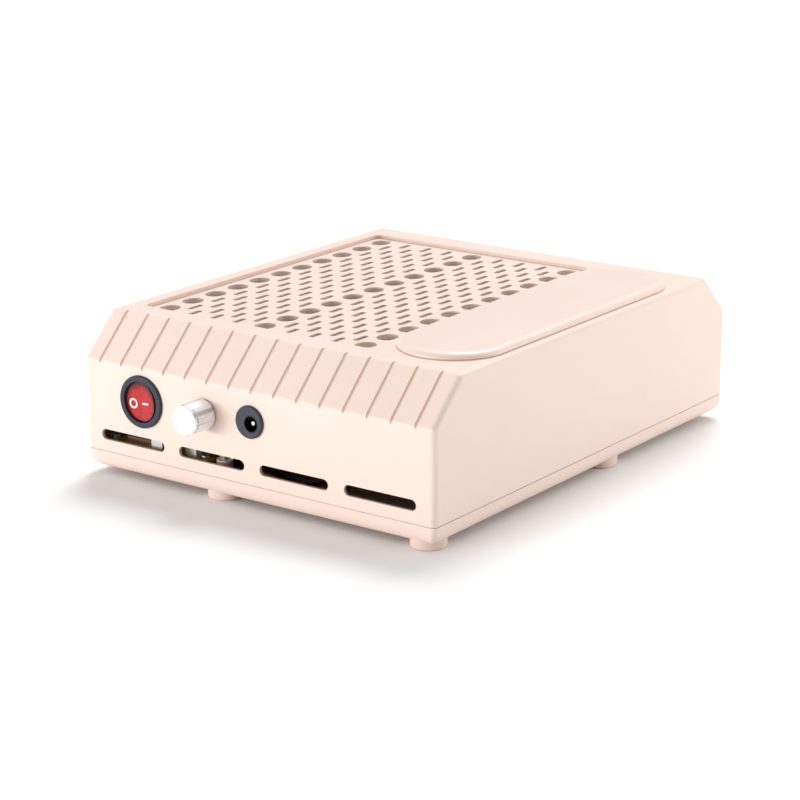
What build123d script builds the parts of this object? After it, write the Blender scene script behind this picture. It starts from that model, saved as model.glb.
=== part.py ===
"""Nail dust collector: a low desk-top box that a manicurist works over.

A fan draws air and dust down through the perforated cover and a pleated filter, and blows the
clean air out of the slots in the front and back walls.  A raised rest for the hand lies beside
the cover.  The front wall carries a round rocker switch, a speed knob and a power inlet.

Millimetres, +Z up.  The row's origin is on the table, under the centre of the whole outline.
"""
from build123d import *
import os
from math import atan2, cos, degrees, radians, sin, tan

# ---------------------------------------------------------------- driving dimensions
BODY_W = 183.5              # along X, the width of the switch panel
BODY_D = 231.0              # along Y
KNOB_PROUD = 13.0           # how far the knob stands out of the front wall
FOOT_H = 2.9
TRAY_H = 8.4                # visible height of the base tray
SHELL_H = 58.1              # seam to top face
CHAMFER_RUN = 18.2          # the sloping bands along the front and back top edges
CHAMFER_DROP = 17.8
WALL = 2.5
EDGE_R = 2.4                # rounding of the case's outer edges
TRAY_R = 5.2                # rounding of the tray's lower edges

SEAM = FOOT_H + TRAY_H
TOP = SEAM + SHELL_H
CHAMFER_Z = TOP - CHAMFER_DROP
FLOOR = FOOT_H + WALL       # inside floor of the tray
MID_Y = KNOB_PROUD / 2      # centre of the case, behind the origin by half the knob
FRONT = MID_Y - BODY_D / 2
BACK = MID_Y + BODY_D / 2
LEFT = -BODY_W / 2
RIGHT = BODY_W / 2

RIB_COUNT = 15              # grooves cut in each sloping band
RIB_PITCH = 11.8
RIB_W = 1.2                 # width at the bottom of a groove
RIB_FLARE = 0.35            # how much each side opens out towards the surface
RIB_DEPTH = 0.9

VENT_L = 35.5               # outlet slots, four in the front wall and four in the back
VENT_H = 4.7
VENT_PITCH = 43.5
VENT_X = -0.3               # the front row's centre; the back row mirrors it
VENT_Z = SEAM + 7.4
VENT_SKIN = 1.4             # the wall is thinned to this behind each row of slots

GRILLE_X = -22.35           # centre of the recess for the perforated cover
GRILLE_Y = MID_Y - 1.0
GRILLE_W = 121.7
GRILLE_L = 170.6
GRILLE_R = 3.0
GRILLE_SINK = 1.7           # the cover lies this far below the top face
COVER_T = 2.2
COVER_GAP = 0.3
LEDGE_W = 4.0
LEDGE_T = 2.5
LIFT = 0.05                 # air between a piece that lifts out and what it lies on
LEDGE_Z = TOP - GRILLE_SINK - COVER_T - LIFT

HOLE_W = 8.9                # large oval holes, three columns of eleven
HOLE_L = 10.4
HOLE_COLUMNS = 53.0
HOLE_ROWS = 11
ROW_PITCH = 15.47
SLIT_W = 2.7                # short slits between them
SLIT_L = 9.0
SLITS_A = (14.5, 26.6, 38.8)
SLITS_B = (8.4, 20.6, 32.7, 45.0)

BAY_WALL = 2.0
BAY_W = GRILLE_W - 2 * LEDGE_W
BAY_L = GRILLE_L - 2 * LEDGE_W
BAY_LOW = 40.0              # underside of the bay that holds the filter
BOSS_R = 3.4
BOSS_X = (GRILLE_X - BAY_W / 2 - BAY_WALL - 3.2, GRILLE_X + BAY_W / 2 + BAY_WALL + 3.2)
BOSS_Y = (GRILLE_Y - 60.0, GRILLE_Y + 60.0)

FILTER_H = 20.0
FILTER_GAP = 0.4
GASKET_T = 1.6
PLEATS = 26

REST_X = 64.0               # hand rest
REST_W = 47.6
REST_L = 170.2
REST_H = 3.0
REST_PEGS = (-56.0, 0.0, 56.0)

FOOT_R = 7.5
STEM_R = 2.7
POST_R = 3.6
POST_TOP = 27.0
RIB_LOW = 22.0
FEET = {
    "front_right": (82.65, -106.9),
    "front_middle": (-22.0, -106.7),
    "right_side": (83.5, 21.5),
    "back_left": (-82.65, 106.9),
    "back_middle": (22.0, 106.7),
    "left_side": (-83.5, -21.5),
}

SWITCH_AT = (-59.7, SEAM + 25.6)
KNOB_AT = (-25.3, SEAM + 26.4)
JACK_AT = (0.8, SEAM + 26.7)
FLANGE_SHIFT = (-1.4, 0.5)  # the inlet's flange sits off the axis of its barrel
BARREL_R = 5.3
BARREL_DEPTH = 9.6
ROCKER_TILT = 5.0           # half the rocker's travel, degrees
ROCKER_PIVOT = -2.0         # pivot behind the panel face
ROCKER_R = 8.5
ROCKER_H = 2.2              # pivot to the middle of the rocker's face

DECK_T = 2.4                # plate under the filter with the fan's inlet
INLET_R = 35.6
FAN_BASE_R = 54.0
FAN_BASE_T = 2.0
IMPELLER_R = 46.0
BLADES = 11
TEETH = 9
SHAFT_R = 1.5
RUNNING = 0.03              # radial clearance of a shaft in its bearing

BOARD = (-87.2, -28.5, FRONT + 5.0, FRONT + 43.0)
BOARD_Z = 13.4
BOARD_T = 1.6
BOARD_TOP = BOARD_Z + BOARD_T
PLUG_Z = BOARD_TOP + 6.5    # top of the wire connectors on the board
WIRE_R = 0.8
WIRE_GAP = 2.0              # spacing of the wires in a bundle
LUG_TOP = 13.5              # the speed control's lugs, above its shaft
LUG_PITCH = 5.0

LOW = (Align.CENTER, Align.CENTER, Align.MIN)


# ---------------------------------------------------------------- small shapes
def rod(radius, low, high):
    return Pos(0, 0, low) * Cylinder(radius, high - low, align=LOW)


def ring(outer, inner, low, high):
    return rod(outer, low, high) - rod(inner, low - 1, high + 1)


def slab(x0, x1, y0, y1, z0, z1):
    return Pos((x0 + x1) / 2, (y0 + y1) / 2, z0) * Box(x1 - x0, y1 - y0, z1 - z0, align=LOW)


def plate(width, length, corner, low, high):
    return extrude(Pos(0, 0, low) * RectangleRounded(width, length, corner), high - low)


def hexagon(across_flats, bore, low, high):
    outline = RegularPolygon(across_flats / 2, 6, major_radius=False) - Circle(bore)
    return extrude(Pos(0, 0, low) * outline, high - low)


def group(pieces):
    return Compound([solid for piece in pieces for solid in piece.solids()])


def on_front(at):
    """A frame on the front wall: local Z points out of the wall and local Y points up."""
    return Plane(origin=(at[0], FRONT, at[1]), x_dir=(1, 0, 0), z_dir=(0, -1, 0))


def screw(head_r, head_h, shank_r, length):
    """A pan-head screw with a cross recess, its shank pointing down from the origin."""
    head = fillet(rod(head_r, 0, head_h).edges().group_by(Axis.Z)[-1], head_h * 0.45)
    cross = Box(head_r * 1.1, 0.7, head_h) + Box(0.7, head_r * 1.1, head_h)
    return head + rod(shank_r, -length, 0.1) - Pos(0, 0, head_h) * cross


def foot_centres():
    return [(x, MID_Y + y) for x, y in FEET.values()]


def to_wall(x, y):
    """The rib that ties a screw post to the case wall beside it."""
    if abs(y - MID_Y) > BODY_D / 2 - 15:
        wall = FRONT + 1 if y < MID_Y else BACK - 1
        return slab(x - 1, x + 1, min(y, wall), max(y, wall), RIB_LOW, POST_TOP)
    wall = LEFT + 1 if x < 0 else RIGHT - 1
    return slab(min(x, wall), max(x, wall), y - 1, y + 1, RIB_LOW, POST_TOP)


# ---------------------------------------------------------------- case
def case_outline(low):
    return Polygon((FRONT, low), (FRONT, CHAMFER_Z), (FRONT + CHAMFER_RUN, TOP),
                   (BACK - CHAMFER_RUN, TOP), (BACK, CHAMFER_Z), (BACK, low), align=None)


def case_blank():
    blank = extrude(Plane.YZ * case_outline(SEAM), BODY_W / 2, both=True)
    return fillet([edge for edge in blank.edges() if edge.center().Z > SEAM + 1], EDGE_R)


def case_hollow():
    inside = offset(case_outline(SEAM - 10), amount=-WALL, kind=Kind.INTERSECTION)
    return extrude(Plane.YZ * inside, BODY_W / 2 - WALL, both=True)


def chamfer_grooves():
    """Cutters for the shallow grooves that run down both sloping bands."""
    slope = degrees(atan2(CHAMFER_DROP, CHAMFER_RUN))
    middle = (FRONT + CHAMFER_RUN / 2, (TOP + CHAMFER_Z) / 2)
    low, high = RIB_W / 2, RIB_W / 2 + 2 * RIB_FLARE
    section = Polygon((-low, -RIB_DEPTH), (low, -RIB_DEPTH), (high, RIB_DEPTH), (-high, RIB_DEPTH), align=None)
    front = Pos(0, middle[0], middle[1]) * Rot(slope, 0, 0) * extrude(Plane.XZ * section, 30, both=True)
    cutters = []
    for index in range(RIB_COUNT):
        groove = Pos((index - (RIB_COUNT - 1) / 2) * RIB_PITCH, 0, 0) * front
        cutters.append(groove)
        cutters.append(Pos(0, 2 * MID_Y, 0) * Rot(0, 0, 180) * groove)
    return cutters


def vents():
    slot = Rot(90, 0, 0) * extrude(SlotOverall(VENT_L, VENT_H), 10, both=True)
    return [Pos((index - 1.5) * VENT_PITCH + shift, wall, VENT_Z) * slot
            for index in range(4) for wall, shift in ((FRONT, VENT_X), (BACK, -VENT_X))]


def vent_reliefs():
    """Shallow pockets in the inner faces of the front and back walls, one behind each row of slots."""
    half = 2 * VENT_PITCH - 1
    return [slab(-half, half, wall - WALL / 2, wall + WALL / 2, VENT_Z - 4, VENT_Z + 4)
            for wall in (FRONT + VENT_SKIN + WALL / 2, BACK - VENT_SKIN - WALL / 2)]


def magnet_places():
    side = GRILLE_W / 2 - LEDGE_W / 2
    return [(GRILLE_X + x, GRILLE_Y + y) for x in (-side, side) for y in (-50.0, 50.0)]


def magnets(low, high, grow=0.0):
    return [Pos(x, y, low) * Box(2.6 + grow, 10 + grow, high - low, align=LOW)
            for x, y in magnet_places()]


def filter_bay():
    collar = plate(GRILLE_W + 2 * BAY_WALL, GRILLE_L + 2 * BAY_WALL, GRILLE_R + BAY_WALL,
                   LEDGE_Z - LEDGE_T, TOP - 1)
    well = plate(BAY_W + 2 * BAY_WALL, BAY_L + 2 * BAY_WALL, 4, BAY_LOW, LEDGE_Z - LEDGE_T + 1)
    bay = Pos(GRILLE_X, GRILLE_Y, 0) * (collar + well)
    for x in BOSS_X:
        for y in BOSS_Y:
            bay += Pos(x, y, 0) * rod(BOSS_R, BAY_LOW, LEDGE_Z - 1)
    return bay


def upper_shell():
    shell = case_blank() - case_hollow() + filter_bay()
    for x, y in foot_centres():
        shell += Pos(x, y, 0) * rod(POST_R, FLOOR + 0.2, POST_TOP) + to_wall(x, y)
    recess = plate(GRILLE_W, GRILLE_L, GRILLE_R, LEDGE_Z, TOP + 1)
    opening = plate(BAY_W, BAY_L, 2, BAY_LOW - 1, TOP + 1)
    shell -= Pos(GRILLE_X, GRILLE_Y, 0) * (recess + opening)
    shell -= chamfer_grooves() + vents() + vent_reliefs() + magnets(LEDGE_Z - 1.5, LEDGE_Z + 1, 0.1)
    for at, radius in ((SWITCH_AT, 10.1), (KNOB_AT, 3.6), (JACK_AT, BARREL_R + 0.1)):
        shell -= on_front(at) * rod(radius, -10, 1)
    for x, y in foot_centres():
        shell -= Pos(x, y, 0) * rod(1.5, FLOOR - 1, POST_TOP - 2)
    for x in BOSS_X:
        for y in BOSS_Y:
            shell -= Pos(x, y, 0) * rod(1.3, BAY_LOW - 1, BAY_LOW + 9)
    for y in REST_PEGS:
        shell -= Pos(REST_X, GRILLE_Y + y, 0) * rod(3.1, TOP - 5, TOP + 1)
    return shell


def tray_blank():
    blank = plate(BODY_W, BODY_D, EDGE_R, FOOT_H, SEAM)
    return fillet(blank.edges().group_by(Axis.Z)[0], TRAY_R)


def base_tray():
    blank = tray_blank()
    blank -= plate(BODY_W + 2, BODY_D + 2, 1, SEAM - 0.45, SEAM + 1) - \
        plate(BODY_W - 1.0, BODY_D - 1.0, EDGE_R, SEAM - 1, SEAM + 2)
    lip = plate(BODY_W - 2 * WALL - 0.3, BODY_D - 2 * WALL - 0.3, 1.2, FLOOR, SEAM + 2.6)
    tray = blank + lip - plate(BODY_W - 2 * WALL - 3.4, BODY_D - 2 * WALL - 3.4, 1, FLOOR, SEAM + 9)
    tray = Pos(0, MID_Y, 0) * tray
    for x, y in foot_centres():
        tray -= Pos(x, y, 0) * rod(STEM_R + 0.05, 0, FLOOR + 1)
    for x, y in board_holes():
        tray += Pos(x, y, 0) * ring(2.6, 1.0, FLOOR - 0.5, BOARD_Z)
    for x, y in fan_screw_places():
        tray -= Pos(x, y, 0) * rod(1.1, FLOOR - 1.8, FLOOR + 1)
    return tray


def foot(x, y):
    """A disc whose top follows the tray's rounded edge, with a stem and a sunk seat for the screw."""
    disc = rod(FOOT_R, 0, FOOT_H + 2.2)
    disc = fillet(disc.edges().group_by(Axis.Z)[0], 0.8)
    disc = Pos(x, y, 0) * disc - Pos(0, MID_Y, 0) * tray_blank()
    stem = rod(STEM_R, FOOT_H - 0.5, FLOOR)
    return disc + Pos(x, y, 0) * stem - Pos(x, y, 0) * (rod(3.2, -1, 2.4) + rod(1.6, -1, FLOOR + 1))


def case_screws():
    one = Pos(0, 0, 2.4) * Rot(180, 0, 0) * screw(2.9, 1.6, 1.45, 16)
    return group([Pos(x, y, 0) * one for x, y in foot_centres()])


# ---------------------------------------------------------------- cover, filter and hand rest
def grille_cover():
    centre = Pos(GRILLE_X, GRILLE_Y, TOP - GRILLE_SINK - COVER_T)
    blank = plate(GRILLE_W - 2 * COVER_GAP, GRILLE_L - 2 * COVER_GAP, GRILLE_R - COVER_GAP, 0, COVER_T)
    blank = chamfer(blank.edges().group_by(Axis.Z)[-1], 0.5)
    slit = Rot(0, 0, 90) * SlotOverall(SLIT_L, SLIT_W)
    holes = []
    for row in range(HOLE_ROWS):
        y = (row - (HOLE_ROWS - 1) / 2) * ROW_PITCH
        holes += [Pos(x, y) * Ellipse(HOLE_W / 2, HOLE_L / 2) for x in (-HOLE_COLUMNS, 0, HOLE_COLUMNS)]
        holes += [Pos(side * x, y) * slit for x in SLITS_A for side in (-1, 1)]
        if row:
            holes += [Pos(side * x, y - ROW_PITCH / 2) * slit for x in SLITS_B for side in (-1, 1)]
    cutter = extrude(Pos(0, 0, -1) * (Sketch() + holes), COVER_T + 2)
    return centre * (blank - cutter) - magnets(LEDGE_Z, LEDGE_Z + LIFT + 1.3, 0.1)


def filter_frame():
    height = (BAY_LOW + LIFT + GASKET_T, BAY_LOW + LIFT + GASKET_T + FILTER_H)
    outer = plate(BAY_W - 2 * FILTER_GAP, BAY_L - 2 * FILTER_GAP, 1.6, height[0], height[1])
    return Pos(GRILLE_X, GRILLE_Y, 0) * (outer - plate(BAY_W - 7, BAY_L - 7, 1, height[0] - 1, height[1] + 1))


def filter_media():
    """Pleated paper: a zigzag sheet that runs across the frame and fills it from wall to wall."""
    low = BAY_LOW + LIFT + GASKET_T + 1.0
    high = low + FILTER_H - 2.0
    length = BAY_L - 7
    pitch = length / PLEATS
    paper = 1.0
    top = []
    for index in range(2 * PLEATS + 1):
        top.append((index * pitch / 2 - length / 2, high if index % 2 else low + 2.0))
    under = [(y, z - 2.0) for y, z in reversed(top)]
    sheet = extrude(Plane.YZ * Polygon(*top, *under, align=None), (BAY_W - 7) / 2, both=True)
    return Pos(GRILLE_X, GRILLE_Y, 0) * (sheet & slab(-80, 80, -length / 2, length / 2, low - paper, high))


def filter_gasket():
    low, high = BAY_LOW + LIFT, BAY_LOW + LIFT + GASKET_T
    outer = plate(BAY_W - 2 * FILTER_GAP, BAY_L - 2 * FILTER_GAP, 1.6, low, high)
    return Pos(GRILLE_X, GRILLE_Y, 0) * (outer - plate(BAY_W - 9, BAY_L - 9, 1, low - 1, high + 1))


def hand_rest():
    """A low crowned pad with round ends, on a narrow foot so that a dark line runs round it."""
    half = REST_W / 2
    shoulder = (half - 3.6, REST_H - 0.15)
    profile = make_face([
        Line((0, 0), (half - 0.6, 0)),
        Line((half - 0.6, 0), (half - 0.6, 0.35)),
        Line((half - 0.6, 0.35), (half, 0.5)),
        Spline((half, 0.5), (half - 0.75, 1.95), shoulder, tangents=((0, 1), (-1, 0.06))),
        Line(shoulder, (0, REST_H)),
        Line((0, REST_H), (0, 0)),
    ])
    straight = REST_L / 2 - half
    end = revolve(Plane.XZ * profile, Axis.Z, 360)
    side = extrude(Plane.XZ * profile, straight, both=True)
    pad = side + mirror(side, Plane.YZ) + Pos(0, straight, 0) * end + Pos(0, -straight, 0) * end
    for y in REST_PEGS:
        pad += Pos(0, y, 0) * rod(3.0, -WALL - 0.2, 0.5)
        pad -= Pos(0, y, 0) * rod(1.3, -WALL - 1, 1.2)
    return Pos(REST_X, GRILLE_Y, TOP) * pad


def hand_rest_screws():
    one = Rot(180, 0, 0) * screw(4.0, 1.6, 1.25, 3.4)
    return group([Pos(REST_X, GRILLE_Y + y, TOP - WALL - 0.2) * one for y in REST_PEGS])


# ---------------------------------------------------------------- fan
def fan_deck():
    """The plate under the filter bay, with a collar that leads the air into the impeller."""
    low = BAY_LOW - DECK_T
    deck = Pos(GRILLE_X, GRILLE_Y, 0) * plate(BAY_W + 2 * BAY_WALL, BAY_L + 2 * BAY_WALL, 4, low, BAY_LOW)
    for x in BOSS_X:
        for y in BOSS_Y:
            deck += Pos(x, y, 0) * rod(BOSS_R, low, BAY_LOW)
    deck += Pos(GRILLE_X, GRILLE_Y, 0) * rod(INLET_R, low - 4.6, low + 1)
    deck -= Pos(GRILLE_X, GRILLE_Y, 0) * rod(INLET_R - 1.6, low - 10, BAY_LOW + 1)
    for x in BOSS_X:
        for y in BOSS_Y:
            deck -= Pos(x, y, 0) * rod(1.5, low - 1, BAY_LOW + 1)
    spokes = [Rot(0, 0, turn) * Box(2 * INLET_R - 2, 1.8, DECK_T, align=LOW) for turn in (0, 60, 120)]
    return deck + [Pos(GRILLE_X, GRILLE_Y, low) * spoke for spoke in spokes]


def fan_deck_screws():
    one = Rot(180, 0, 0) * screw(2.8, 1.5, 1.25, 8.5)
    return group([Pos(x, y, BAY_LOW - DECK_T) * one for x in BOSS_X for y in BOSS_Y])


def fan_screw_places():
    turns = (45, 135, 225, 315)
    return [(GRILLE_X + 50 * cos(radians(a)), GRILLE_Y + 50 * sin(radians(a))) for a in turns]


def fan_base():
    base = Pos(GRILLE_X, GRILLE_Y, 0) * ring(FAN_BASE_R, 5.0, FLOOR, FLOOR + FAN_BASE_T)
    for x, y in fan_screw_places():
        base -= Pos(x, y, 0) * rod(1.4, FLOOR - 1, FLOOR + 5)
    return base


def fan_base_screws():
    one = screw(2.6, 1.4, 1.05, 3.5)
    return group([Pos(x, y, FLOOR + FAN_BASE_T) * one for x, y in fan_screw_places()])


def at_fan(piece):
    return Pos(GRILLE_X, GRILLE_Y, 0) * piece


def blade():
    """One backward-curved blade, thicker at the hub."""
    def polar(radius, turn):
        return (radius * cos(radians(turn)), radius * sin(radians(turn)))
    outline = make_face([
        ThreePointArc(polar(25, 0), polar(35, -20), polar(IMPELLER_R, -32)),
        Line(polar(IMPELLER_R, -32), polar(IMPELLER_R, -30.2)),
        ThreePointArc(polar(IMPELLER_R, -30.2), polar(35, -17.6), polar(25, 3.2)),
        Line(polar(25, 3.2), polar(25, 0)),
    ])
    return extrude(Pos(0, 0, 11.5) * outline, 23)


def impeller():
    wheel = ring(IMPELLER_R, 20.05, 10.4, 12) + ring(22, 20.05, 11, 26.4)
    wheel += ring(21, SHAFT_R, 25.05, 26.4)
    blades = [Rot(0, 0, index * 360 / BLADES) * blade() for index in range(BLADES)]
    wheel += [one - rod(36.8, 31.8, 40) for one in blades]
    wheel += ring(IMPELLER_R, 37, 34, 35.4) + ring(38.2, 37, 34, 36.6)
    return at_fan(wheel)


def rotor_cup():
    return at_fan(rod(20, 11, 25) - rod(18.9, 10, 23.8) - rod(SHAFT_R, 20, 30))


def rotor_magnet():
    return at_fan(ring(18.9, 17.3, 11.5, 20))


def motor_shaft():
    return at_fan(rod(SHAFT_R, 7, 26.4))


def stator_core():
    core = ring(8, 5.0, 12, 19)
    for index in range(TEETH):
        tooth = slab(7, 15, -1.4, 1.4, 12, 19)
        shoe = (ring(16.7, 14.6, 12, 19) & slab(10, 20, -4.2, 4.2, 12, 19))
        core += Rot(0, 0, index * 360 / TEETH) * (tooth + shoe)
    return at_fan(core)


def stator_windings():
    coil = slab(8.6, 13.8, -2.6, 2.6, 10.6, 20.4) - slab(7, 15, -1.45, 1.45, 11.9, 19.1)
    return at_fan(group([Rot(0, 0, index * 360 / TEETH) * coil for index in range(TEETH)]))


def bearing_tube():
    return at_fan(ring(5.0, 4.0, FLOOR, 22.5))


def motor_bearings():
    return at_fan(group([ring(4.0, SHAFT_R + RUNNING, low, low + 3) for low in (7.0, 19.0)]))


# ---------------------------------------------------------------- switch
def switch_housing():
    bezel = fillet(rod(11.5, 0, 1.4).edges().group_by(Axis.Z)[-1], 0.8)
    body = bezel + rod(10.0, -13, 0.1) - rod(9.0, -8, 3)
    pins = Pos(0, 0, ROCKER_PIVOT) * Rot(90, 0, 0) * Cylinder(1.2 + 0.05, 19.8)
    slots = [slab(x - 2.45, x + 2.45, -0.45, 0.45, -14, -7) for x in (-5.0, 5.0)]
    return on_front(SWITCH_AT) * (body - pins - slots)


def switch_terminals():
    return group([on_front(SWITCH_AT) * slab(x - 2.4, x + 2.4, -0.4, 0.4, -20.5, -9.0) for x in (-5.0, 5.0)])


def rocker_pose():
    """The rocker rests with its left half pressed in, turned half its travel about the pivot."""
    return on_front(SWITCH_AT) * Pos(0, 0, ROCKER_PIVOT) * Rot(0, -ROCKER_TILT, 0)


def rocker_button():
    """Two flat halves that rise outward from the middle; local Z = 0 is the pivot."""
    edge, low = ROCKER_R, -3.2
    high = ROCKER_H + edge * tan(radians(ROCKER_TILT))
    outline = Polygon((-edge, low), (edge, low), (edge, high), (0, ROCKER_H), (-edge, high), align=None)
    body = extrude(Plane.XZ * outline, 10, both=True)
    body &= rod(edge, -5, 8)
    body &= Rot(90, 0, 0) * Cylinder(8.8, 20)
    body += Rot(90, 0, 0) * Cylinder(1.2, 19.6)
    return rocker_pose() * body


def rocker_marks():
    """A circle on the off half and a bar on the on half, let into the face."""
    def on_half(x, y, mark):
        height = ROCKER_H + abs(x) * tan(radians(ROCKER_TILT))
        return Pos(x, y, height) * Rot(0, ROCKER_TILT if x < 0 else -ROCKER_TILT, 0) * mark
    circle = on_half(-4.4, -1.4, ring(2.25, 1.45, 0, 0.06))
    bar = on_half(2.75, -0.5, Rot(0, 0, 7) * slab(-1.95, 1.95, -0.42, 0.42, 0, 0.06))
    return rocker_pose() * group([circle, bar])


# ---------------------------------------------------------------- speed control
def speed_knob():
    knob = rod(6.6, 1.0, KNOB_PROUD)
    knob = chamfer(knob.edges().group_by(Axis.Z)[-1], 0.7)
    return on_front(KNOB_AT) * (knob - rod(5.8, 0, 4.6) - rod(3.0, 0, 10.2))


def speed_shaft():
    return on_front(KNOB_AT) * rod(3.0, -6, 10.2)


def speed_control_body():
    can = rod(8.2, -11, -WALL - 0.4) - rod(3.5, -5, 0) - rod(3.3, -6.5, 0)
    return on_front(KNOB_AT) * (can - lug_blanks())


def speed_control_bush():
    return on_front(KNOB_AT) * (ring(3.5, 3.0 + RUNNING, -5, 4.0))


def speed_control_washer():
    return on_front(KNOB_AT) * ring(5.4, 3.55, 0, 0.5)


def speed_control_nut():
    return on_front(KNOB_AT) * hexagon(10, 3.55, 0.5, 2.5)


def lug_blanks():
    return [slab(x - 1, x + 1, 5.5, LUG_TOP, -9.4, -8.9) for x in (-LUG_PITCH, 0.0, LUG_PITCH)]


def speed_control_lugs():
    return group([on_front(KNOB_AT) * lug for lug in lug_blanks()])


# ---------------------------------------------------------------- power inlet
def jack_housing():
    flange = Pos(*FLANGE_SHIFT) * fillet(rod(7.05, 0, 1.5).edges().group_by(Axis.Z)[-1], 0.8)
    slot = slab(-1.2, 1.2, 2.9, 3.6, -12, -1.5)
    barrel = rod(BARREL_R, -11, 0.1)
    return on_front(JACK_AT) * (flange + barrel - rod(3.2, -BARREL_DEPTH, 3) - rod(1.3, -12, 0) - slot)


def jack_pin():
    """The centre contact, thicker where it is pressed through the bottom of the barrel."""
    pin = rod(1.05, -BARREL_DEPTH, 0.1)
    pin = fillet(pin.edges().group_by(Axis.Z)[-1], 0.4)
    return on_front(JACK_AT) * (pin + rod(1.3, -13.5, -BARREL_DEPTH))


def jack_contact():
    """The sleeve contact: a leaf in the barrel's wall and the lug behind it."""
    leaf = slab(-1.2, 1.2, 2.9, 3.2, -9.0, -1.5)
    lug = slab(-1.2, 1.2, 2.9, 3.6, -16, -9)
    return on_front(JACK_AT) * (leaf + lug)


def jack_nut():
    return on_front(JACK_AT) * hexagon(14, BARREL_R + 0.05, -WALL - 2.5, -WALL)


# ---------------------------------------------------------------- control board
def board_holes():
    x0, x1, y0, y1 = BOARD
    return [(x, y) for x in (x0 + 4, x1 - 4) for y in (y0 + 4, y1 - 4)]


def control_board():
    board = slab(*BOARD, BOARD_Z, BOARD_TOP)
    for x, y in board_holes():
        board -= Pos(x, y, 0) * rod(1.3, BOARD_Z - 1, BOARD_TOP + 1)
    return board


def board_screws():
    one = screw(2.3, 1.3, 0.95, 4.5)
    return group([Pos(x, y, BOARD_TOP) * one for x, y in board_holes()])


def connector_places():
    return {"supply": (-72.0, FRONT + 20.5), "speed": (-57.5, FRONT + 10.0), "motor": (-38.5, FRONT + 10.0)}


def board_connectors():
    """Three housings; the supply's is long in X and the other two are long in Y."""
    shells = []
    for name, (x, y) in connector_places().items():
        wide, deep = (4, 3) if name == "supply" else (3, 4)
        shells.append(slab(x - wide, x + wide, y - deep, y + deep, BOARD_TOP, PLUG_Z))
    return group(shells)


def board_capacitors():
    tall = Pos(-75, FRONT + 33, 0) * rod(5.0, BOARD_TOP, BOARD_TOP + 15)
    small = Pos(-63, FRONT + 36, 0) * rod(3.1, BOARD_TOP, BOARD_TOP + 9)
    return group([tall, small])


def board_inductor():
    return Pos(-61, FRONT + 26.5, BOARD_TOP + 2.3) * Torus(3.9, 2.2)


def board_transistor():
    return slab(-53, -43, FRONT + 28.0, FRONT + 32.5, BOARD_TOP, BOARD_TOP + 14)


def heat_sink():
    fins = [slab(-56 + 3.1 * k, -54.8 + 3.1 * k, FRONT + 34.5, FRONT + 39.5, BOARD_TOP, BOARD_TOP + 18)
            for k in range(5)]
    return slab(-56, -42.4, FRONT + 32.5, FRONT + 34.6, BOARD_TOP, BOARD_TOP + 18) + fins


def driver_chip():
    return slab(-77, -63, FRONT + 9, FRONT + 14, BOARD_TOP, BOARD_TOP + 1.6)


# ---------------------------------------------------------------- wires held inside the case
def wire(*points):
    """A round wire along straight runs joined by arcs as large as the runs allow."""
    spots = [Vector(*point) for point in points]
    radii = []
    for before, here, after in zip(spots, spots[1:], spots[2:]):
        turn = radians((here - before).get_angle(after - here))
        shorter = min((here - before).length, (after - here).length)
        radii.append(0.45 * shorter / tan(turn / 2))
    path = FilletPolyline(*spots, radius=radii)
    start = Plane(origin=path @ 0, z_dir=path % 0)
    return sweep(start * Circle(WIRE_R), path=path)


def supply_wire_red():
    x, z = JACK_AT
    end = SWITCH_AT[0] + 5
    return wire((x, FRONT + 13.5, z), (x, FRONT + 20, z), (x - 12, FRONT + 26, z - 4),
                (-35, FRONT + 27, z - 3), (end + 2, FRONT + 26, SWITCH_AT[1] - 0.5),
                (end, FRONT + 24, SWITCH_AT[1]), (end, FRONT + 20.5, SWITCH_AT[1]))


def supply_wire_black():
    x, z = JACK_AT
    px, y = connector_places()["supply"]
    return wire((x, FRONT + 16, z + 3.2), (x, FRONT + 21, z + 3.2), (x + 4, FRONT + 26, 26),
                (-12, FRONT + 25, 18), (-31, FRONT + 23, 18), (-50, FRONT + 20, 20.5),
                (-63, FRONT + 18.5, 25), (px + 1.5, y, 26.5), (px + 1.5, y, PLUG_Z))


def switch_wire_red():
    x, z = SWITCH_AT
    px, y = connector_places()["supply"]
    return wire((x - 5, FRONT + 20.5, z), (x - 5, FRONT + 25, z), (x - 9, FRONT + 22, 29),
                (px - 1.5, y, 27), (px - 1.5, y, PLUG_Z))


def speed_wires():
    """Three wires side by side from the speed control's lugs to their connector."""
    x, z = KNOB_AT[0], KNOB_AT[1] + LUG_TOP
    px, py = connector_places()["speed"]
    strands = []
    for index in (-1, 0, 1):
        side = WIRE_GAP * index
        strands.append(wire(
            (x + LUG_PITCH * index, FRONT + 9.2, z), (x + LUG_PITCH * index, FRONT + 9.2, z + 2.5),
            (x + LUG_PITCH * index - 1, FRONT + 15 + side, z + 2), (x - 13, FRONT + 21 + side, 46),
            (x - 19, FRONT + 21 + side, 34), (px + 8, py + 4 + side, 26), (px, py + side, 25.4),
            (px, py + side, PLUG_Z)))
    return group(strands)


def motor_wire(index):
    """One of the three motor wires; they leave the connector side by side and turn back to the fan."""
    px, py = connector_places()["motor"]
    side = WIRE_GAP * index
    low = FLOOR + FAN_BASE_T + 1
    return wire((px, py + side, PLUG_Z), (px, py + side, 26), (px + 12, py + side + 7.5, 24),
                (-16, FRONT + 15 + side, 14.5), (14 - side, FRONT + 14 + side, low),
                (24 - 1.2 * side, FRONT + 30 + 0.4 * side, low), (18 - side, FRONT + 50, low),
                (GRILLE_X + 8.5 - side, GRILLE_Y - 13.5, low))


def motor_wire_red():
    return motor_wire(0)


def motor_wire_black():
    return motor_wire(1)


def motor_wire_yellow():
    return motor_wire(-1)


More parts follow.
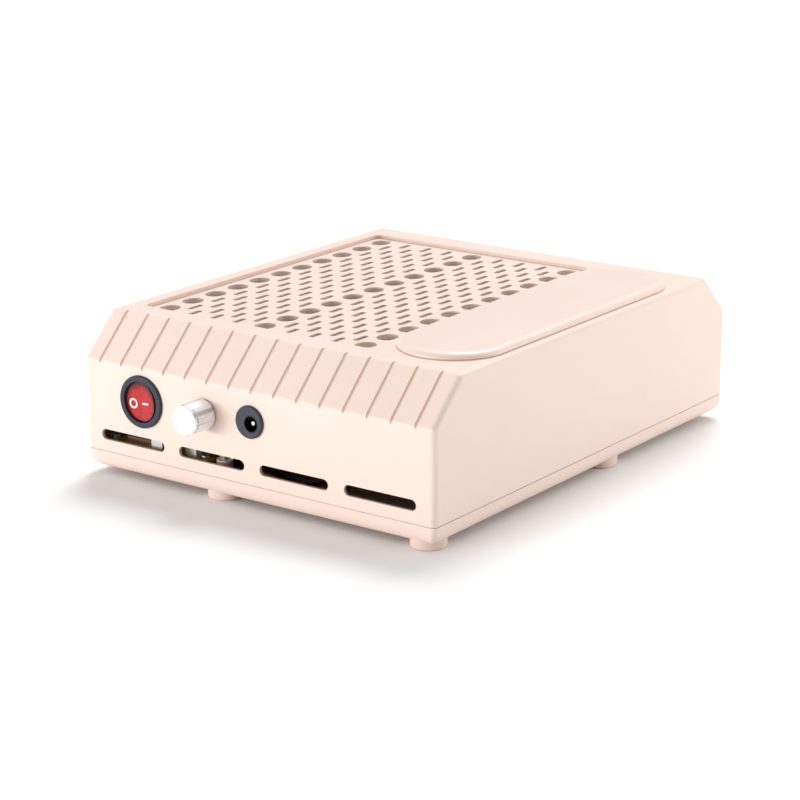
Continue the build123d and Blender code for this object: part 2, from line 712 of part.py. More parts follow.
# ---------------------------------------------------------------- the assembly
PARTS = [
    upper_shell, base_tray, hand_rest, hand_rest_screws, case_screws, grille_cover, filter_frame,
    filter_media, filter_gasket, fan_deck, fan_deck_screws, fan_base, fan_base_screws, impeller,
    rotor_cup, rotor_magnet, motor_shaft, stator_core, stator_windings, bearing_tube, motor_bearings,
    switch_housing, switch_terminals, rocker_button, rocker_marks, speed_knob, speed_shaft,
    speed_control_body, speed_control_bush, speed_control_washer, speed_control_nut,
    speed_control_lugs, jack_housing, jack_pin, jack_contact, jack_nut, control_board, board_screws,
    board_connectors, board_capacitors, board_inductor, board_transistor, heat_sink, driver_chip,
    supply_wire_red, supply_wire_black, switch_wire_red, speed_wires, motor_wire_red,
    motor_wire_black, motor_wire_yellow,
]

os.makedirs("parts", exist_ok=True)
for make in PARTS:
    export_step(make(), f"parts/{make.__name__}.step")
for name, (x, y) in FEET.items():
    export_step(foot(x, MID_Y + y), f"parts/foot_{name}.step")
export_step(group(magnets(LEDGE_Z + LIFT, LEDGE_Z + LIFT + 1.3)), "parts/cover_magnets.step")
export_step(group(magnets(LEDGE_Z - 1.5, LEDGE_Z - 0.02)), "parts/ledge_magnets.step")
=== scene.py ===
"""Nail dust collector: its finished pieces, in the order it is put together, on a white table."""
import bpy
import math
from mathutils import Matrix, Vector


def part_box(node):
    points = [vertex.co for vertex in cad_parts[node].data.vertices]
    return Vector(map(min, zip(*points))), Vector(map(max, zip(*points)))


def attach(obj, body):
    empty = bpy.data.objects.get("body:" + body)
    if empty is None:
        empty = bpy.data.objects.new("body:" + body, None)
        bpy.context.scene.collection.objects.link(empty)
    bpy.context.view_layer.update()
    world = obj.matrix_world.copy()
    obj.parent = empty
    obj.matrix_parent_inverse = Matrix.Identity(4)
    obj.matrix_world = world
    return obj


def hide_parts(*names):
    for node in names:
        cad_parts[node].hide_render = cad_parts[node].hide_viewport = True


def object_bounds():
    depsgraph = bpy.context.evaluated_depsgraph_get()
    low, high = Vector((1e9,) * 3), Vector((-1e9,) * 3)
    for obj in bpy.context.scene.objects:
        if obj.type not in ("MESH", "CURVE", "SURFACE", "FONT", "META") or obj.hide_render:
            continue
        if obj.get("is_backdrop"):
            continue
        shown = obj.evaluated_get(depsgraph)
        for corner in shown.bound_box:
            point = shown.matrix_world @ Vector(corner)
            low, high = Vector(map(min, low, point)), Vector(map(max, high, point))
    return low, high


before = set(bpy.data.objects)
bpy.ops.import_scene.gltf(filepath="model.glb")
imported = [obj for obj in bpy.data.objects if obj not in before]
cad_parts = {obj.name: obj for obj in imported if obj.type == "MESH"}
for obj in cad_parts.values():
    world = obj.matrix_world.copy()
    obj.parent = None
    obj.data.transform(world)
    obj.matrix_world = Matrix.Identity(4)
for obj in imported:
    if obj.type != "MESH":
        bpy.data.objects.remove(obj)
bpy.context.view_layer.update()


# ------------------------------------------------------------------ camera
# A long lens a metre away, looking down a little on the corner between the switch panel and the
# right side.
VIEW_AZIMUTH = math.radians(35.99)
VIEW_ELEVATION = math.radians(16.57)
VIEW_ROLL = math.radians(-0.17)
VIEW_DISTANCE = 0.9959
VIEW_TARGET = Vector((0.04835, -0.0722, 0.04735))
LENS, SENSOR = 109.8, 36.0      # millimetres

away = Vector((math.sin(VIEW_AZIMUTH) * math.cos(VIEW_ELEVATION),
               -math.cos(VIEW_AZIMUTH) * math.cos(VIEW_ELEVATION),
               math.sin(VIEW_ELEVATION)))
tilt = away.to_track_quat("Z", "Y") @ Matrix.Rotation(VIEW_ROLL, 3, "Z").to_quaternion()
camera = bpy.data.objects.new("camera", bpy.data.cameras.new("camera"))
camera.data.lens = LENS
camera.data.sensor_width = SENSOR
camera.location = VIEW_TARGET + away * VIEW_DISTANCE
camera.rotation_euler = tilt.to_euler()
bpy.context.scene.collection.objects.link(camera)
bpy.context.scene.camera = camera


# ------------------------------------------------------------------ case and cover
# Three mouldings in peach ABS with a fine spark-eroded texture. The shell is screwed down on the
# tray from below, and the perforated cover lies loose in its recess, held by magnets.
class Field:
    """A shader value on its way through the nodes. Arithmetic on it adds Math nodes."""

    def __init__(self, finish, socket):
        self.finish = finish
        self.socket = socket

    def math(self, operation, *others):
        inputs = dict(enumerate((self, *others)))
        return self.finish.node("Math", {"operation": operation}, inputs)

    def __add__(self, other):
        return self.math("ADD", other)

    def __sub__(self, other):
        return self.math("SUBTRACT", other)

    def __rsub__(self, other):
        return self * -1.0 + other

    def __mul__(self, other):
        return self.math("MULTIPLY", other)

    def __pow__(self, other):
        return self.math("POWER", other)

    __radd__ = __add__
    __rmul__ = __mul__

    def clamp(self):
        return self.math("MAXIMUM", 0.0).math("MINIMUM", 1.0)

    def step(self, edge, softness):
        """0 below the edge, rising to 1 over the softness."""
        return ((self - edge) * (1 / softness)).clamp()


class Finish:
    """A material with one principled shader; node() adds any other node and returns its output."""

    def __init__(self, name, **constants):
        self.data = bpy.data.materials.new(name)
        self.data.use_nodes = True
        self.tree = self.data.node_tree
        self.tree.nodes.clear()
        self.shader = self.tree.nodes.new("ShaderNodeBsdfPrincipled")
        output = self.tree.nodes.new("ShaderNodeOutputMaterial")
        self.tree.links.new(self.shader.outputs[0], output.inputs[0])
        self.set(**constants)

    def put(self, socket, value):
        if isinstance(value, Field):
            self.tree.links.new(value.socket, socket)
        elif socket.type == "RGBA":
            socket.default_value = (*value, 1.0)
        else:
            socket.default_value = value

    def node(self, kind, settings=None, inputs=None, output=0):
        made = self.tree.nodes.new("ShaderNode" + kind)
        for key, value in (settings or {}).items():
            setattr(made, key, value)
        for key, value in (inputs or {}).items():
            self.put(made.inputs[key], value)
        if output == "all":
            return [Field(self, socket) for socket in made.outputs]
        return Field(self, made.outputs[output])

    def set(self, **sockets):
        for key, value in sockets.items():
            self.put(self.shader.inputs[key.replace("_", " ")], value)
        return self

    def place(self):
        """The point on the piece, in metres, in the row frame."""
        return self.node("TexCoord", output="Object")

    def axes(self):
        return self.node("SeparateXYZ", None, {"Vector": self.place()}, output="all")

    def noise(self, size, detail=2.0, rough=0.5, at=None):
        """Noise from 0 to 1 whose lumps are about this many metres wide."""
        inputs = {"Vector": at or self.place(), "Scale": 1 / size, "Detail": detail, "Roughness": rough}
        return self.node("TexNoise", None, inputs)

    def mix(self, factor, first, second):
        return self.node("Mix", {"data_type": "RGBA"}, {0: factor, 6: first, 7: second}, output=2)

    def bump(self, height, depth):
        """A normal raised by the height, 0 to 1, times the depth in metres."""
        return self.node("Bump", None, {"Height": height, "Distance": depth, "Strength": 1.0})


def dress(finish, *names):
    """Gives the finish to CAD pieces that keep their own shape."""
    for name in names:
        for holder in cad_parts[name].material_slots:
            holder.material = finish.data


CLOUD = 0.045           # width of the slow changes of tint in a large moulding
PEEL = 9                # how many times wider than the grain its orange peel is


def moulded(name, light, dark, rough, grain, depth, **constants):
    """Moulded plastic: a cloudy tint, patchy gloss and an even grain over a faint orange peel."""
    finish = Finish(name, **constants)
    cloud = finish.noise(CLOUD, 3.0, 0.6)
    speck = finish.noise(grain, 2.0, 0.6)
    peel = finish.noise(grain * PEEL, 1.0, 0.5)
    tint = (cloud * 0.7 + speck * 0.3).step(0.3, 0.4)
    gloss = rough + (cloud - 0.5) * 0.10 + (speck - 0.5) * 0.12
    return finish.set(Base_Color=finish.mix(tint, dark, light), Roughness=gloss,
                      Normal=finish.bump(speck * 0.65 + peel * 0.35, depth))


PEACH_LIGHT = (0.855, 0.686, 0.604)
PEACH_DARK = (0.838, 0.664, 0.580)
shell_peach = moulded("shell_peach", PEACH_LIGHT, PEACH_DARK, 0.46, 0.0006, 0.00002,
                      Specular_IOR_Level=0.42)
dress(shell_peach, "upper_shell", "base_tray", "grille_cover")


# ------------------------------------------------------------------ hand rest
# A pad moulded in the same peach plastic from a polished tool, so it shines more than the case. It
# is pegged into the top face and screwed from inside.
rest_peach = moulded("rest_peach", PEACH_LIGHT, PEACH_DARK, 0.36, 0.0008, 0.000012, Specular_IOR_Level=0.45)
dress(rest_peach, "hand_rest")


# ------------------------------------------------------------------ feet
# Six soft discs in a duller shade, each moulded to the tray's rounded edge and held by the case
# screw that passes through it.
foot_peach = moulded("foot_peach", (0.80, 0.63, 0.55), (0.76, 0.59, 0.51), 0.6, 0.0005, 0.00003)
dress(foot_peach, *[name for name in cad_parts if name.startswith("foot_")])


# ------------------------------------------------------------------ rocker switch
# A round snap-in switch. The housing is slate nylon, the rocker clear red polycarbonate with its
# marks printed in white, and the two blades behind it are brass.
SLATE_LIGHT = (0.043, 0.049, 0.070)
SLATE_DARK = (0.031, 0.036, 0.053)
slate = moulded("slate_nylon", SLATE_LIGHT, SLATE_DARK, 0.42, 0.0005, 0.00002, Specular_IOR_Level=0.22)
dress(slate, "switch_housing")

# Painted shade: the clear red is darkened towards its rim, most at the top, where the bezel's shadow falls
# on the recessed face.
RIM_SHADE_START, RIM_SHADE_WIDTH, RIM_SHADE_DROP = 0.0060, 0.0026, 0.0011
RIM_SHADE_RED = (0.075, 0.002, 0.003)
HAZE = 0.0025
low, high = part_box("rocker_button")
rocker_at = (low + high) / 2
rocker_red = Finish("rocker_red", Specular_IOR_Level=0.35, Coat_Weight=0.15, Coat_Roughness=0.12)
x, y, z = rocker_red.axes()
from_middle = ((x - rocker_at.x) ** 2.0 + (z - (rocker_at.z - RIM_SHADE_DROP)) ** 2.0) ** 0.5
haze = rocker_red.noise(HAZE, 3.0, 0.6)
# Painted shade: the red grows darker from the rim inwards, most at the top.
rim_shade = from_middle.step(RIM_SHADE_START, RIM_SHADE_WIDTH) ** 1.4
glow = rocker_red.mix(haze, (0.40, 0.005, 0.008), (0.54, 0.014, 0.018))
rocker_red.set(Base_Color=rocker_red.mix(rim_shade, glow, RIM_SHADE_RED), Roughness=0.22 + haze * 0.1,
               Normal=rocker_red.bump(haze, 0.00002))
dress(rocker_red, "rocker_button")

print_white = moulded("print_white", (0.88, 0.86, 0.84), (0.80, 0.78, 0.76), 0.5, 0.0004, 0.00001)
dress(print_white, "rocker_marks")


def drawn(name, light, dark, rough, grain, depth, metallic=1.0, **constants):
    """Metal with fine tool lines: noise squeezed most across the direction that the tool ran."""
    finish = Finish(name, Metallic=metallic, **constants)
    squeezed = finish.node("Mapping", None, {"Vector": finish.place(), "Scale": grain})
    lines = finish.noise(1.0, 3.0, 0.7, at=squeezed)
    smear = finish.noise(0.006, 2.0, 0.5)
    return finish.set(Base_Color=finish.mix(lines, dark, light), Normal=finish.bump(lines, depth),
                      Roughness=rough + (lines - 0.5) * 0.18 + (smear - 0.5) * 0.08)


brass = drawn("brass_blade", (0.80, 0.60, 0.28), (0.62, 0.44, 0.18), 0.30, (2500, 900, 2500), 0.000006)
dress(brass, "switch_terminals", "speed_control_lugs")


# ------------------------------------------------------------------ speed knob and its control
# A satin aluminium cap, drawn along its length, pressed on the shaft of a small potentiometer. The
# potentiometer's nickelled bush passes through the wall and a washer and nut clamp it.
STREAK = 0.0021                 # width of the painted reflection streaks, bright and dull, along the cap
STRETCH = 0.03                  # how much the streaks are drawn out along the cap
FINE = 7                        # how many times finer the tool lines are than the streaks
LINE_FRONT, LINE_BACK = 0.0012, 0.0017      # a dark ring just behind the front edge, part of the painted reflection
SKIN = 0.0004                   # the side's markings start this far inside its surface
BRIGHT, REFLECTED_DULL = (0.94, 0.95, 0.96), (0.36, 0.37, 0.39)
low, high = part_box("speed_knob")
knob_at = (low + high) / 2
knob_metal = Finish("satin_aluminium", Metallic=0.3)
x, y, z = knob_metal.axes()
radius = ((x - knob_at.x) ** 2.0 + (z - knob_at.z) ** 2.0) ** 0.5
along = knob_metal.node("Mapping", None, {"Vector": knob_metal.place(), "Scale": (1.0, STRETCH, 1.0)})
broad = knob_metal.noise(STREAK, 1.0, 0.5, at=along)
fine = knob_metal.noise(STREAK / FINE, 2.0, 0.7, at=along)
side = radius.step((high.x - low.x) / 2 - SKIN, SKIN / 2)
behind = y - low.y
line = side * behind.step(LINE_FRONT, 0.0001) * (1 - behind.step(LINE_BACK, 0.0001))
# Painted reflection: dull streaks along the side and a dark ring behind the front edge stand in for the
# bands the metal reflects.
painted_reflection = side * (1 - broad.step(0.40, 0.12)) * 0.75 + line * broad.step(0.42, 0.1) * 0.9
knob_metal.set(Base_Color=knob_metal.mix(painted_reflection.clamp(), BRIGHT, REFLECTED_DULL),
               Roughness=0.20 + fine * 0.12, Normal=knob_metal.bump(fine, 0.000012))
dress(knob_metal, "speed_knob")

nickel = drawn("nickel_plate", (0.78, 0.77, 0.74), (0.62, 0.61, 0.58), 0.22, (2500, 2500, 2500), 0.000005)
dress(nickel, "speed_shaft", "speed_control_bush", "speed_control_nut", "speed_control_washer")

black = moulded("black_nylon", (0.022, 0.022, 0.024), (0.014, 0.014, 0.016), 0.45, 0.0006, 0.00003)
dress(black, "speed_control_body")


# ------------------------------------------------------------------ power inlet
# A round barrel inlet. Its flange is dull slate outside. Its polished mouth is coloured near black: dark
# nylon, darkened further as painted shade for the inside of the bore. The nickelled pin stands at the
# bottom of the mouth. A thin nut holds it from inside.
MOUTH_R = 0.0036
MOUTH_SHADE_BLACK = (0.006, 0.006, 0.007)
pin_low, pin_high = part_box("jack_pin")
pin_axis = (pin_low + pin_high) / 2

inlet = Finish("inlet_nylon", Specular_IOR_Level=0.35)
x, y, z = inlet.axes()
off_axis = ((x - pin_axis.x) ** 2.0 + (z - pin_axis.z) ** 2.0) ** 0.5
outside = off_axis.step(MOUTH_R, 0.0002)
grit = inlet.noise(0.0005, 2.0, 0.6)
flange_tint = inlet.mix(grit, SLATE_DARK, SLATE_LIGHT)
# Painted shade: within the mouth's radius the nylon is coloured near black.
inlet.set(Base_Color=inlet.mix(outside, MOUTH_SHADE_BLACK, flange_tint),
          Roughness=0.14 + outside * 0.26 + grit * 0.06, Normal=inlet.bump(grit, 0.000012))
dress(inlet, "jack_housing")
dress(nickel, "jack_pin", "jack_contact", "jack_nut")


# ------------------------------------------------------------------ filter cartridge
# A card frame round pleated paper, on a foam gasket. The paper is one sheet, folded to and fro and
# glued into the frame at its edges, so each pleat sways a little between them.
PLEATS = 58
PAPER_T = 0.00035
PLEAT_STEPS = (0.0, 0.12, 0.5, 0.88)      # the rows of points from one fold to the next
ACROSS = 24
SIDE_GAP, END_GAP = 0.0004, 0.0008
SWAY, SWAY_TURNS, SWAY_SHIFT = 0.00022, 9.0, 1.7
media_low, media_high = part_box("filter_media")


def mesh_piece(name, points, faces, body, slot, finish, smooth=True):
    """A piece made from its points and faces that rides on a body. The slot is not used."""
    mesh = bpy.data.meshes.new(name)
    mesh.from_pydata([tuple(point) for point in points], [], faces)
    mesh.polygons.foreach_set("use_smooth", [smooth] * len(mesh.polygons))
    mesh.materials.append(finish.data)
    made = bpy.data.objects.new(name, mesh)
    bpy.context.scene.collection.objects.link(made)
    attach(made, body)
    return made


def sheet_faces(rows, columns):
    return [(row * columns + column, row * columns + column + 1,
             (row + 1) * columns + column + 1, (row + 1) * columns + column)
            for row in range(rows - 1) for column in range(columns - 1)]


span = media_high - media_low
points = []
rows = [fold + part for fold in range(2 * PLEATS) for part in PLEAT_STEPS]
for row in rows:
    for column in range(ACROSS + 1):
        across = column / ACROSS
        sway = SWAY * math.sin(SWAY_TURNS * across + SWAY_SHIFT * (row // 2)) * math.sin(math.pi * across)
        height = abs(row % 2 - 1) * (span.z - 4 * PAPER_T) + 2 * PAPER_T
        points.append((media_low.x + SIDE_GAP + across * (span.x - 2 * SIDE_GAP),
                       media_low.y + END_GAP + (row / (2 * PLEATS)) * (span.y - 2 * END_GAP) + sway,
                       media_low.z + height))

paper = Finish("pleated_paper", Subsurface_Weight=0.1, Subsurface_Scale=0.002)
fibres = paper.noise(0.0004, 4.0, 0.7)
felt = paper.noise(0.006, 3.0, 0.6)
paper.set(Base_Color=paper.mix(fibres * 0.5 + felt * 0.5, (0.78, 0.76, 0.71), (0.92, 0.91, 0.87)),
          Roughness=0.78 + fibres * 0.15, Normal=paper.bump(fibres, 0.00005))
media = mesh_piece("pleated_media", points, sheet_faces(len(rows), ACROSS + 1), "filter",
                   "filter_paper", paper, smooth=False)
thick = media.modifiers.new("paper_thickness", "SOLIDIFY")
thick.thickness = PAPER_T
thick.offset = 0.0
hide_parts("filter_media")

card = moulded("filter_card", (0.84, 0.82, 0.78), (0.76, 0.74, 0.69), 0.7, 0.0005, 0.00004)
dress(card, "filter_frame")

foam = moulded("gasket_foam", (0.05, 0.05, 0.05), (0.015, 0.015, 0.015), 0.9, 0.0008, 0.0002)
dress(foam, "filter_gasket")


# ------------------------------------------------------------------ fan and its motor
# A backward-curved wheel in black nylon on the steel cup of an outrunner motor. The motor turns on
# a nickelled shaft in sintered bushes, and its base is screwed to the tray.
dress(black, "impeller", "fan_base")
dress(nickel, "motor_shaft")

steel = drawn("motor_steel", (0.52, 0.52, 0.53), (0.36, 0.36, 0.37), 0.34, (900, 900, 3000), 0.000006)
dress(steel, "rotor_cup", "stator_core")

ferrite = moulded("ferrite", (0.06, 0.06, 0.065), (0.035, 0.035, 0.04), 0.6, 0.0004, 0.00003)
dress(ferrite, "rotor_magnet")
dress(brass, "bearing_tube")

bronze = moulded("sintered_bronze", (0.55, 0.36, 0.16), (0.40, 0.25, 0.10), 0.5, 0.0003, 0.00004,
                 Metallic=1.0)
dress(bronze, "motor_bearings")

# Near black: a black moulding, also made this dark as painted shade for the inside of the case seen through
# the slots.
deck_dark_and_shade = moulded("deck_plastic", (0.030, 0.028, 0.027), (0.020, 0.019, 0.018), 0.5, 0.0006, 0.00003)
dress(deck_dark_and_shade, "fan_deck")


# ------------------------------------------------------------------ motor windings
# Nine coils of enamelled copper wire, one on each tooth of the stator, wound turn beside turn.
TEETH = 9
COIL_TURNS = 9
COIL_WIRE = 0.00027             # radius
COIL_STEPS = 16
COIL_INNER, COIL_REACH = 0.0090, 0.0045     # along the tooth, from the motor's axis
COIL_HALF_W, COIL_HALF_H = 0.0020, 0.0043
SQUARENESS = 0.4                # 1 gives an oval turn, less a squarer one


def tube(path, radius, sides, closed=False):
    """Points and faces of a round tube along a path of points."""
    points, faces = [], []
    count = len(path)
    side_way = Vector((0.31, 0.17, 0.93)).normalized()
    for index, centre in enumerate(path):
        ahead = path[(index + 1) % count] if closed else path[min(index + 1, count - 1)]
        behind = path[index - 1] if closed or index else path[0]
        along = (ahead - behind).normalized()
        side_way = (side_way - along * side_way.dot(along)).normalized()
        up = along.cross(side_way)
        for side in range(sides):
            turn = 2 * math.pi * side / sides
            points.append(centre + (side_way * math.cos(turn) + up * math.sin(turn)) * radius)
    for index in range(count if closed else count - 1):
        after = (index + 1) % count
        for side in range(sides):
            beside = (side + 1) % sides
            faces.append((index * sides + side, index * sides + beside,
                          after * sides + beside, after * sides + side))
    if not closed:
        faces.append(tuple(reversed(range(sides))))
        faces.append(tuple((count - 1) * sides + side for side in range(sides)))
    return points, faces


def joined(parts):
    """One list of points and one of faces from several."""
    points, faces = [], []
    for more_points, more_faces in parts:
        start = len(points)
        points += more_points
        faces += [tuple(corner + start for corner in face) for face in more_faces]
    return points, faces


def rounded_turn(turn, half_width, half_height):
    """A point of a rounded rectangle, at an angle seen from its centre."""
    c, s = math.cos(turn), math.sin(turn)
    return (half_width * math.copysign(abs(c) ** SQUARENESS, c),
            half_height * math.copysign(abs(s) ** SQUARENESS, s))


coils_low, coils_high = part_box("stator_windings")
shaft_low, shaft_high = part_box("motor_shaft")
hub = (shaft_low + shaft_high) / 2
hub.z = (coils_low.z + coils_high.z) / 2
coils = []
for tooth in range(TEETH):
    heading = Matrix.Rotation(2 * math.pi * tooth / TEETH, 3, "Z")
    path = []
    for step in range(COIL_TURNS * COIL_STEPS + 1):
        wide, high = rounded_turn(2 * math.pi * step / COIL_STEPS, COIL_HALF_W, COIL_HALF_H)
        out = COIL_INNER + COIL_REACH * step / (COIL_TURNS * COIL_STEPS)
        path.append(hub + heading @ Vector((out, wide, high)))
    coils.append(tube(path, COIL_WIRE, 6))

copper = Finish("enamelled_copper", Metallic=1.0, Coat_Weight=0.6, Coat_Roughness=0.15)
dip = copper.noise(0.0015, 2.0, 0.5)
copper.set(Base_Color=copper.mix(dip, (0.56, 0.20, 0.07), (0.82, 0.36, 0.15)), Roughness=0.2 + dip * 0.15,
           Normal=copper.bump(dip, 0.00002))
windings = mesh_piece("coil_windings", *joined(coils), "case", "copper", copper)
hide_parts("stator_windings")


# ------------------------------------------------------------------ screws and magnets
# Zinc-plated cross-head screws, and small nickelled magnets glued in the cover and in its ledge.
zinc = drawn("zinc_plate", (0.66, 0.65, 0.60), (0.48, 0.47, 0.44), 0.32, (2200, 2200, 900), 0.000006)
dress(zinc, "case_screws", "hand_rest_screws", "fan_deck_screws", "fan_base_screws", "board_screws")
dress(nickel, "cover_magnets", "ledge_magnets")


# ------------------------------------------------------------------ control board
# A brown phenolic laminate with tinned holes in rows, ivory sockets, a driver chip and a
# transistor bolted to an extruded aluminium heat sink.
PAD_PITCH = 0.00254
PAD_R = 0.00055
TINNED = (0.62, 0.60, 0.56)

laminate = Finish("phenolic_board", Specular_IOR_Level=0.35)
x, y, z = laminate.axes()
cell_x = (x * (1 / PAD_PITCH)).math("FRACT") - 0.5
cell_y = (y * (1 / PAD_PITCH)).math("FRACT") - 0.5
off_pad = (cell_x ** 2.0 + cell_y ** 2.0) ** 0.5
resin = laminate.noise(0.004, 4.0, 0.65)
used = laminate.noise(0.006, 0.0).step(0.56, 0.02)
pad = used * (1 - off_pad.step(PAD_R / PAD_PITCH, 0.05))
brown = laminate.mix(resin, (0.42, 0.17, 0.025), (0.60, 0.28, 0.05))
laminate.set(Base_Color=laminate.mix(pad, brown, TINNED), Metallic=pad,
             Roughness=0.42 - pad * 0.12 + resin * 0.1,
             Normal=laminate.bump(pad * 0.8 + resin * 0.2, 0.00006))
dress(laminate, "control_board")

ivory = moulded("ivory_socket", (0.88, 0.87, 0.83), (0.82, 0.80, 0.76), 0.4, 0.0006, 0.00002)
dress(ivory, "board_connectors")

# Painted sheen: the chip and the transistor are black epoxy, coloured grey-brown to stand in for the light
# they reflect.
epoxy_sheen = moulded("chip_epoxy_painted_sheen", (0.24, 0.15, 0.10), (0.17, 0.105, 0.07), 0.38, 0.0003, 0.00002)
dress(epoxy_sheen, "driver_chip", "board_transistor")

extruded = drawn("extruded_aluminium", (0.62, 0.62, 0.63), (0.48, 0.48, 0.49), 0.38,
                 (2600, 2600, 300), 0.00001)
dress(extruded, "heat_sink")


# ------------------------------------------------------------------ capacitors
# Two electrolytic cans in dark blue shrink sleeve, open at the top, where the bare can is scored
# with a cross. A pale stripe down the sleeve marks one lead.
CAN_SIDES = 40
TALL_R, SMALL_R = 0.0050, 0.0031
SMALL_HEIGHT = 0.009
STRIPE_HALF_W = 0.0009
STRIPE_FROM = 0.003             # the stripe lies beyond this, left of the tall can's axis


def turned(centre, profile, sides=CAN_SIDES):
    """Points and faces of a closed shape turned about a vertical axis from (radius, height) pairs."""
    points = [centre + Vector((0, 0, profile[0][1]))]
    for radius, height in profile[1:-1]:
        for side in range(sides):
            turn = 2 * math.pi * side / sides
            points.append(centre + Vector((radius * math.cos(turn), radius * math.sin(turn), height)))
    points.append(centre + Vector((0, 0, profile[-1][1])))
    faces = []
    last = len(points) - 1
    rings = len(profile) - 2
    for side in range(sides):
        beside = (side + 1) % sides
        faces.append((0, 1 + beside, 1 + side))
        for row in range(rings - 1):
            near, far = 1 + row * sides, 1 + (row + 1) * sides
            faces.append((near + side, near + beside, far + beside, far + side))
        top = 1 + (rings - 1) * sides
        faces.append((top + side, top + beside, last))
    return points, faces


def can_profile(radius, height):
    """Bottom to top: a crimp above the rubber plug, the sleeve's rolled lip, the sunk bare top."""
    return [(0, 0), (radius * 0.93, 0), (radius, 0.0004), (radius, 0.0014), (radius * 0.93, 0.0019),
            (radius, 0.0024), (radius, height - 0.0005), (radius * 0.95, height), (radius * 0.88, height),
            (radius * 0.86, height - 0.0003), (0, height - 0.0003)]


board_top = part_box("control_board")[1].z
low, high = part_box("board_capacitors")
tall_at = Vector((low.x + TALL_R, low.y + TALL_R, board_top))
small_at = Vector((high.x - SMALL_R, high.y - SMALL_R, board_top))
cans = [turned(tall_at, can_profile(TALL_R, high.z - board_top)),
        turned(small_at, can_profile(SMALL_R, SMALL_HEIGHT))]

sleeve = Finish("shrink_sleeve", Coat_Weight=0.3, Coat_Roughness=0.2)
x, y, z = sleeve.axes()
wrinkle = sleeve.noise(0.0012, 2.0, 0.5)
stripe = 1 - (y - tall_at.y).math("ABSOLUTE").step(STRIPE_HALF_W, 0.0001)
left_half = 1 - (x - (tall_at.x - STRIPE_FROM)).step(0.0, 0.0001)
sleeve.set(Base_Color=sleeve.mix(stripe * left_half, (0.02, 0.03, 0.10), (0.6, 0.6, 0.62)),
           Roughness=0.25 + wrinkle * 0.2, Normal=sleeve.bump(wrinkle, 0.00003))
capacitors = mesh_piece("capacitor_cans", *joined(cans), "case", "capacitor_sleeve", sleeve)
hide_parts("board_capacitors")


# ------------------------------------------------------------------ inductor
# A ferrite ring on the board, wound with twenty-four turns of enamelled copper.
RING_TURNS = 24
RING_WIRE = 0.00028             # radius
RING_STEPS, WINDING_STEPS, LEAD_GAP = 48, 400, 8
low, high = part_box("board_inductor")
ring_centre = (low + high) / 2
ring_minor = (high.z - low.z) / 2 - 2 * RING_WIRE
ring_major = (high.x - low.x) / 2 - ring_minor - 2 * RING_WIRE


def on_ring(around, about, minor):
    """A point of a torus: the angle around the ring and the angle about its section."""
    out = ring_major + minor * math.cos(about)
    return ring_centre + Vector((out * math.cos(around), out * math.sin(around), minor * math.sin(about)))


core_path = [on_ring(2 * math.pi * step / RING_STEPS, 0, 0) for step in range(RING_STEPS)]
core = tube(core_path, ring_minor, 20, closed=True)
wound = []
for step in range(WINDING_STEPS - LEAD_GAP):
    around = 2 * math.pi * step / WINDING_STEPS
    wound.append(on_ring(around, around * RING_TURNS, ring_minor + RING_WIRE))
ring_core = mesh_piece("inductor_core", *core, "case", "ferrite", ferrite)
ring_coil = mesh_piece("inductor_coil", *tube(wound, RING_WIRE * 0.95, 6), "case", "copper", copper)
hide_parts("board_inductor")
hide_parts("board_inductor")


# ------------------------------------------------------------------ wires
# Stranded hook-up wire in glossy PVC: red and black from the inlet through the switch to the
# board, three pale ones to the speed control, and three colours to the motor.
WIRES = {
    "wire_red": ((0.62, 0.03, 0.03), (0.46, 0.02, 0.02),
                 "supply_wire_red", "switch_wire_red", "motor_wire_red"),
    "wire_black": ((0.03, 0.03, 0.03), (0.02, 0.02, 0.02), "supply_wire_black", "motor_wire_black"),
    "wire_yellow": ((0.80, 0.56, 0.06), (0.66, 0.44, 0.04), "motor_wire_yellow"),
    "wire_white": ((0.80, 0.79, 0.76), (0.70, 0.69, 0.66), "speed_wires"),
}
for name, (light, dark, *strands) in WIRES.items():
    dress(moulded(name, light, dark, 0.32, 0.001, 0.00002), *strands)


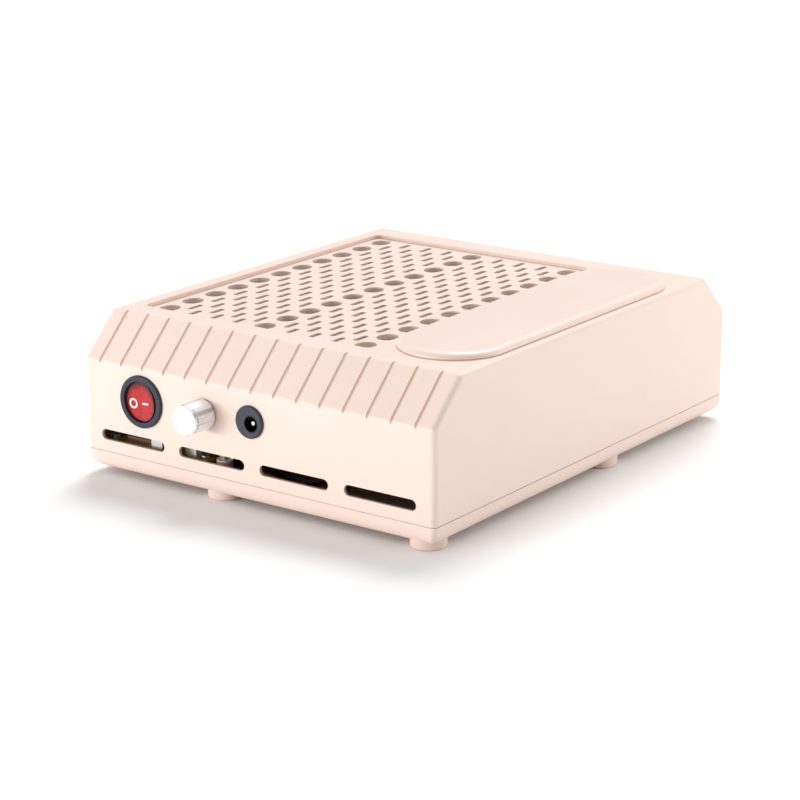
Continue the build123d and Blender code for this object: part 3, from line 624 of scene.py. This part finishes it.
# ------------------------------------------------------------------ table and light
# A white table in a white tent. A broad soft light comes over the back, a low box lights the
# switch panel, another the right side, and a dark card hangs to the right of the camera.
def facing(obj, place, aim):
    obj.location = place
    obj.rotation_euler = (Vector(place) - Vector(aim)).to_track_quat("Z", "Y").to_euler()
    bpy.context.scene.collection.objects.link(obj)


def screen(name, width, height, place, aim, shade):
    mesh = bpy.data.meshes.new(name)
    x, y = width / 2, height / 2
    mesh.from_pydata([(-x, -y, 0), (x, -y, 0), (x, y, 0), (-x, y, 0)], [], [(0, 1, 2, 3)])
    paint = Finish(name + "_paint", Base_Color=(shade, shade, shade), Roughness=0.7, Specular_IOR_Level=0.1)
    mesh.materials.append(paint.data)
    made = bpy.data.objects.new(name, mesh)
    facing(made, place, aim)
    made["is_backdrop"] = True


def soft_box(name, place, size, watts):
    light = bpy.data.lights.new(name, "AREA")
    light.shape = "RECTANGLE"
    light.size, light.size_y = size
    light.energy = watts
    facing(bpy.data.objects.new(name, light), place, BODY_MIDDLE)


BODY_MIDDLE = (0, 0, 0.04)
screen("table", 12.0, 12.0, (0, 0, 0), (0, 0, -1), 0.93)
CARD_AZIMUTH, CARD_ELEVATION, CARD_AWAY = math.radians(58), math.radians(24), 1.9
card_place = CARD_AWAY * Vector((math.sin(CARD_AZIMUTH) * math.cos(CARD_ELEVATION),
                                 -math.cos(CARD_AZIMUTH) * math.cos(CARD_ELEVATION),
                                 math.sin(CARD_ELEVATION)))
screen("grey_card", 1.7, 1.5, card_place, BODY_MIDDLE, 0.03)

soft_box("panel_box", (-0.55, -1.25, 0.15), (0.9, 0.22), 9.8)
soft_box("side_box", (0.75, 0.45, 0.18), (0.4, 0.3), 2.4)

dome = bpy.data.lights.new("dome", "SUN")
dome.energy = 1.95
dome.angle = math.radians(30)
facing(bpy.data.objects.new("dome", dome), (-0.22, 0.56, 0.80), (0, 0, 0))

tent = bpy.data.worlds.new("tent")
tent.use_nodes = True
tent.node_tree.nodes["Background"].inputs["Color"].default_value = (1.0, 1.0, 1.0, 1.0)
tent.node_tree.nodes["Background"].inputs["Strength"].default_value = 0.64
bpy.context.scene.world = tent
bpy.context.scene.view_settings.view_transform = "Standard"


# ------------------------------------------------------------------ finish
low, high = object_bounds()
